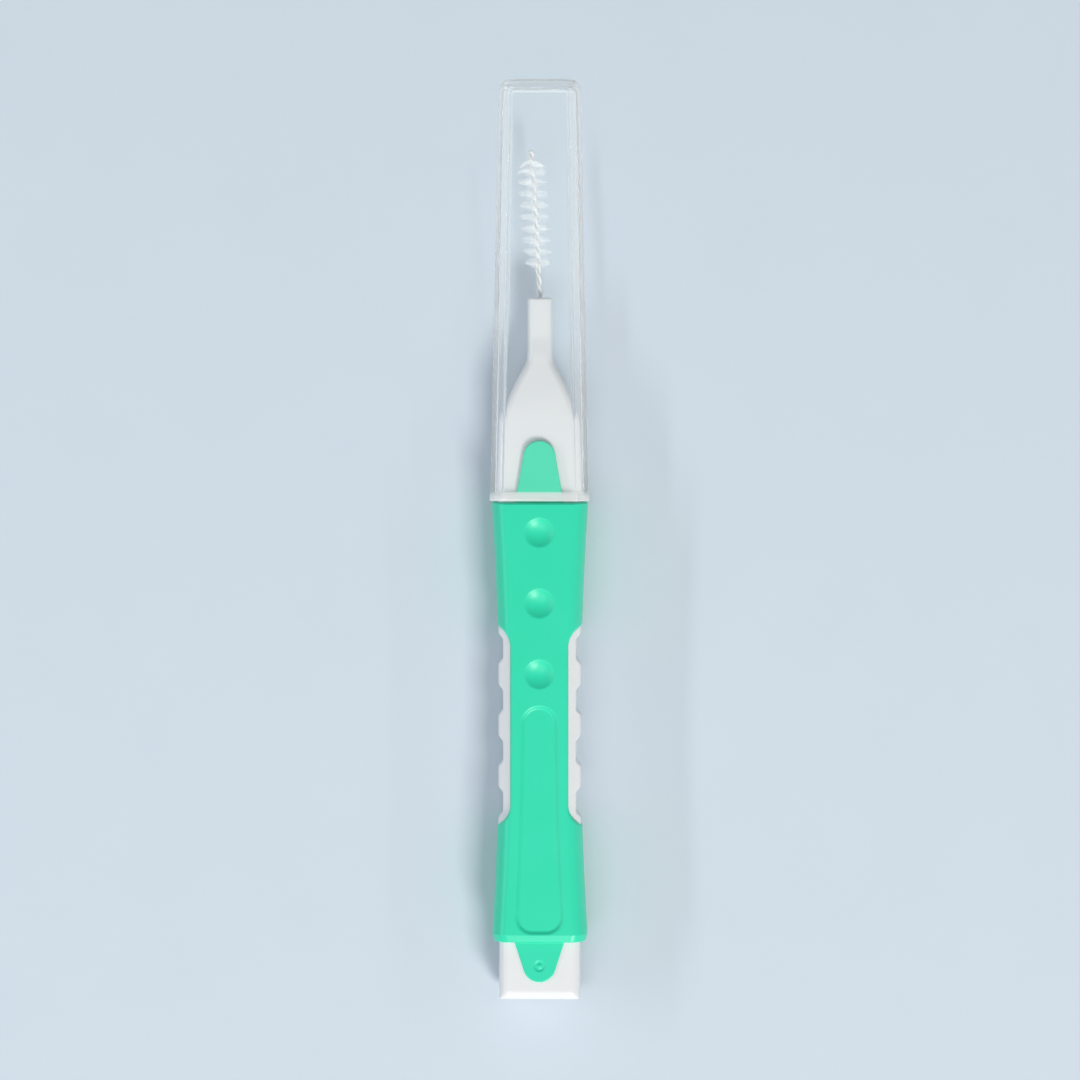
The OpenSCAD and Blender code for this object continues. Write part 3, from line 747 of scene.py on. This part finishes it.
def linear(code):
    """A colour's sRGB hex value as linear RGBA."""
    parts = [int(code[i:i + 2], 16) / 255 for i in (1, 3, 5)]
    return tuple(c / 12.92 if c <= 0.04045 else ((c + 0.055) / 1.055) ** 2.4 for c in parts) + (1,)


def per(size_mm):
    """A texture scale whose features are about that many millimetres across."""
    return 1 / (size_mm * MM)


def add(tree, kind, settings=(), links=()):
    """A node with its settings, by input or property, and its links, by input."""
    made = tree.nodes.new(kind)
    for name, value in dict(settings).items():
        if isinstance(name, int) or name in made.inputs:
            made.inputs[name].default_value = value
        else:
            setattr(made, name, value)
    for name, source in dict(links).items():
        tree.links.new(source, made.inputs[name])
    return made


def finish(name, grain_mm, grain_depth_mm, rough, settings, tones=None, drift_mm=None):
    """A material whose grain gives it its height and its range of roughness, and whose colour
    can drift between two tones."""
    made = bpy.data.materials.new(name)
    made.use_nodes = True
    tree = made.node_tree
    tree.nodes.clear()
    where = add(tree, "ShaderNodeTexCoord").outputs["Object"]
    noise = add(
        tree, "ShaderNodeTexNoise", {"Scale": per(grain_mm), "Detail": 2.0}, {"Vector": where})
    grain = noise.outputs[0]
    roughness = add(
        tree, "ShaderNodeMapRange", {"To Min": rough[0], "To Max": rough[1]}, {"Value": grain})
    bump = add(tree, "ShaderNodeBump", {"Distance": grain_depth_mm * MM}, {"Height": grain})
    shader = add(
        tree, "ShaderNodeBsdfPrincipled", settings,
        {"Roughness": roughness.outputs[0], "Normal": bump.outputs[0]})
    if tones:
        drift = add(
            tree, "ShaderNodeTexNoise", {"Scale": per(drift_mm), "Detail": 2.0},
            {"Vector": where})
        colour = add(
            tree, "ShaderNodeMix",
            {"data_type": "RGBA", "A": linear(tones[0]), "B": linear(tones[1])},
            {"Factor": drift.outputs[0]})
        tree.links.new(colour.outputs[2], shader.inputs["Base Color"])
    add(tree, "ShaderNodeOutputMaterial", {"name": "finish"}, {"Surface": shader.outputs[0]})
    return made


def satin_rubber():
    """Mint thermoplastic rubber from a spark-eroded mould: satin, with a soft deep colour and a
    fine even grain that breaks up its highlights. The grain is drawn at 0.22 mm, coarser than
    the real one, so that it shows."""
    return finish(
        "satin_mint_rubber", grain_mm=0.22, grain_depth_mm=0.007, rough=(0.32, 0.46),
        settings={
            "IOR": 1.5, "Subsurface Weight": 0.12, "Subsurface Radius": (0.4, 1.2, 0.9),
            "Subsurface Scale": MM, "Sheen Weight": 0.05, "Sheen Roughness": 0.4},
        tones=("#1dd8ab", "#2cddb4"), drift_mm=7)


def moulded_polypropylene():
    """White polypropylene from a polished mould: semi-gloss and a little translucent, with the
    faint waviness of a moulded surface, drawn at 0.3 mm so that it shows."""
    return finish(
        "moulded_white_polypropylene", grain_mm=0.3, grain_depth_mm=0.004, rough=(0.24, 0.36),
        settings={
            "IOR": 1.49, "Subsurface Weight": 0.2, "Subsurface Radius": (1.2, 1.1, 1.0),
            "Subsurface Scale": MM},
        tones=("#e1e4e6", "#e9ebec"), drift_mm=5)


def frosted_polypropylene():
    """Natural polypropylene with a light frost from its mould: clear head on and milky along its
    edges and its lip, where the eye looks through more of it. The milkiness comes in two steps,
    faint on a slant and full where the eye grazes the wall. For shadows the lamps shine straight
    through. The mould's waviness is drawn at 0.9 mm, coarser than the real one, so that it
    shows."""
    made = finish(
        "frosted_clear_polypropylene", grain_mm=0.9, grain_depth_mm=0.0008, rough=(0.08, 0.15),
        settings={"Base Color": linear("#feffff"), "IOR": 1.49, "Transmission Weight": 0.98})
    tree = made.node_tree
    output = tree.nodes["finish"]
    glass = output.inputs["Surface"].links[0].from_node
    slant = add(tree, "ShaderNodeLayerWeight", {"Blend": 0.5}).outputs["Facing"]
    slanting = add(
        tree, "ShaderNodeMapRange",
        {"From Min": 0.12, "From Max": 0.27, "To Min": 0.985, "To Max": 0.85}, {"Value": slant})
    grazing = add(
        tree, "ShaderNodeMapRange",
        {"From Min": 0.48, "From Max": 0.85, "To Min": 1, "To Max": 0.35}, {"Value": slant})
    lesser = {"operation": "MINIMUM"}
    edges = add(tree, "ShaderNodeMath", lesser, {0: slanting.outputs[0], 1: grazing.outputs[0]})
    where = add(tree, "ShaderNodeTexCoord").outputs["Object"]
    along = add(tree, "ShaderNodeSeparateXYZ", {}, {"Vector": where}).outputs["Y"]
    lip_y = TAIL_END_Y + (MOUTH_Y + LIP_LEN) * MM
    lip = add(
        tree, "ShaderNodeMapRange",
        {"From Min": lip_y, "From Max": lip_y + LIP_FADE * MM, "To Min": 0.5, "To Max": 1},
        {"Value": along})
    clear = add(tree, "ShaderNodeMath", lesser, {0: edges.outputs[0], 1: lip.outputs[0]})
    tree.links.new(clear.outputs[0], glass.inputs["Transmission Weight"])
    through = add(tree, "ShaderNodeBsdfTransparent", {"Color": linear("#feffff")})
    shadow = add(tree, "ShaderNodeLightPath").outputs["Is Shadow Ray"]
    mix = add(
        tree, "ShaderNodeMixShader", {},
        {0: shadow, 1: glass.outputs[0], 2: through.outputs[0]})
    tree.links.new(mix.outputs[0], output.inputs["Surface"])
    return made


def white_polyamide():
    """White polyamide coat drawn over the wire: smooth and slightly waxy, so that each turn of
    the twist takes one soft highlight."""
    return finish(
        "drawn_white_polyamide", grain_mm=0.12, grain_depth_mm=0.001, rough=(0.28, 0.42),
        settings={
            "IOR": 1.53, "Subsurface Weight": 0.5, "Subsurface Radius": (1, 1, 1),
            "Subsurface Scale": COAT_D / 2 * MM},
        tones=("#eff1f2", "#f8f9f9"), drift_mm=0.5)


def nylon_filament():
    """Extruded nylon filament: clear white and glossy, and thin enough to let light through."""
    return finish(
        "clear_nylon_filament", grain_mm=0.2, grain_depth_mm=0.0005, rough=(0.22, 0.38),
        settings={
            "IOR": 1.53, "Alpha": 0.55, "Subsurface Weight": 0.8,
            "Subsurface Radius": (1, 1, 1), "Subsurface Scale": FILAMENT_D * MM},
        tones=("#e9eff2", "#f7fafb"), drift_mm=0.4)


def drawn_steel():
    """Stainless wire, drawn bright, with a fine grain that dulls it a little from place to
    place."""
    return finish(
        "drawn_stainless_steel", grain_mm=0.05, grain_depth_mm=0.0005, rough=(0.2, 0.4),
        settings={"Metallic": 1.0}, tones=("#b0b4b8", "#c2c5c8"), drift_mm=0.2)


def pale_board():
    """Matt pale board, with a faint tooth, drawn at 1.2 mm so that it shows."""
    return finish(
        "matt_pale_board", grain_mm=1.2, grain_depth_mm=0.004, rough=(0.7, 0.9),
        settings={"IOR": 1.45}, tones=("#cbd7e2", "#cedae4"), drift_mm=9)


def finish_with(thing, material):
    """Give a thing its one material."""
    thing.data.materials.clear()
    thing.data.materials.append(material)


# The object's pieces

core = moulded(
    "handle_core_moulding", core_form, CORE_GRID_HALF_W, CORE_GRID_HALF_D, 0, WIRE_EXIT_Y,
    CORE_FACES, "handle", "handle_core")
finish_with(core, moulded_polypropylene())

grip = moulded(
    "grip_moulding", grip_form, GRIP_GRID_HALF_W, GRIP_GRID_HALF_D,
    GRIP_Y - TAIL_TONGUE_LEN, COLLAR_Y + FRONT_TONGUE_LEN,
    GRIP_FACES, "handle", "grip_sleeve")
finish_with(grip, satin_rubber())

finish_with(wire_coat(), white_polyamide())

# The filaments are fine and let light through, so they don't darken each other.
bristles = filaments()
finish_with(bristles, nylon_filament())
bristles.visible_shadow = False

# The cap's shadow lets the lamps' light in, and diffuse light passes the cap in the same way.
cap = travel_cap()
finish_with(cap, frosted_polypropylene())
cap.visible_diffuse = False

finish_with(frame["nodes"]["stem_wire"], drawn_steel())


# Stage, light and camera, in metres and watts

CENTRE = (cad_box[0] + cad_box[1]) / 2
FLOOR_HALF = 1.5
FRAME_HEIGHT = 0.119
CAMERA_DISTANCE = 0.8
CAMERA_OFF = Vector((0.021, 0.035, 0))
CAMERA_CLIP = 0.01
FLOOR_Z = cad_box[0].z
ROOM_LIGHT = 0.31
ROOM_SEEN = 0.65


def floor():
    """The board that the brush lies on."""
    mesh = bpy.data.meshes.new("floor")
    corners = [
        (x * FLOOR_HALF, y * FLOOR_HALF, FLOOR_Z) for x, y in ((-1, -1), (1, -1), (1, 1), (-1, 1))]
    mesh.from_pydata(corners, [], [(0, 1, 2, 3)])
    thing = bpy.data.objects.new("floor", mesh)
    bpy.context.scene.collection.objects.link(thing)
    finish_with(thing, pale_board())


def aimed(thing, place):
    """Put a camera or lamp at a place, turned to the brush, with +Y up in its view."""
    back = (place - CENTRE).normalized()
    right = Vector((0, 1, 0)).cross(back).normalized()
    turned = Matrix((right, back.cross(right), back)).transposed()
    thing.matrix_world = Matrix.Translation(place) @ turned.to_4x4()
    bpy.context.scene.collection.objects.link(thing)


def softbox(name, place, width, length, watts, colour):
    """A rectangular lamp, aimed at the brush, with its length along it. The clear cap's own shadow
    already passes its light, so it isn't seen through the cap as well."""
    data = bpy.data.lights.new(name, "AREA")
    data.shape = "RECTANGLE"
    data.size = width
    data.size_y = length
    data.energy = watts
    data.color = linear(colour)[:3]
    lamp = bpy.data.objects.new(name, data)
    lamp.visible_transmission = False
    aimed(lamp, CENTRE + Vector(place))


def camera():
    """A camera straight over the brush, off to one side as in the photograph."""
    data = bpy.data.cameras.new("camera")
    data.angle = 2 * math.atan(FRAME_HEIGHT / 2 / CAMERA_DISTANCE)
    data.clip_start = CAMERA_CLIP
    thing = bpy.data.objects.new("camera", data)
    aimed(thing, CENTRE + CAMERA_OFF + Vector((0, 0, CAMERA_DISTANCE)))
    bpy.context.scene.camera = thing


def world():
    """An even pale room: it lights softly, and where it is seen, mirrored or looked at through
    the cap, it is brighter."""
    made = bpy.data.worlds.new("studio")
    bpy.context.scene.world = made
    made.use_nodes = True
    tree = made.node_tree
    ray = add(tree, "ShaderNodeLightPath").outputs
    larger = {"operation": "MAXIMUM"}
    seen = add(tree, "ShaderNodeMath", larger, {0: ray["Is Camera Ray"], 1: ray["Is Glossy Ray"]})
    seen = add(tree, "ShaderNodeMath", larger, {0: seen.outputs[0], 1: ray["Is Transmission Ray"]})
    direct = add(
        tree, "ShaderNodeMath", {"operation": "LESS_THAN", 1: 0.5}, {0: ray["Diffuse Depth"]})
    seen = add(
        tree, "ShaderNodeMath", {"operation": "MULTIPLY"},
        {0: seen.outputs[0], 1: direct.outputs[0]})
    strength = add(
        tree, "ShaderNodeMapRange", {"To Min": ROOM_LIGHT, "To Max": ROOM_SEEN},
        {"Value": seen.outputs[0]})
    background = tree.nodes["Background"]
    background.inputs["Color"].default_value = linear("#f0f4f8")
    tree.links.new(strength.outputs[0], background.inputs["Strength"])


floor()
softbox(
    "key_softbox", place=(0.54, -1.08, 1.08), width=0.5, length=0.5, watts=18.8,
    colour="#fffaf4")
softbox(
    "front_softbox", place=(-0.45, -0.75, 1.42), width=0.9, length=0.9, watts=6.0,
    colour="#f8fafc")
softbox(
    "left_strip", place=(-0.8, 0, 0.42), width=0.05, length=0.9, watts=2.0, colour="#f4f8ff")
softbox(
    "right_strip", place=(0.8, 0, 0.42), width=0.03, length=0.9, watts=0.6, colour="#f4f8ff")
camera()
world()
bpy.context.scene.view_settings.view_transform = "Standard"
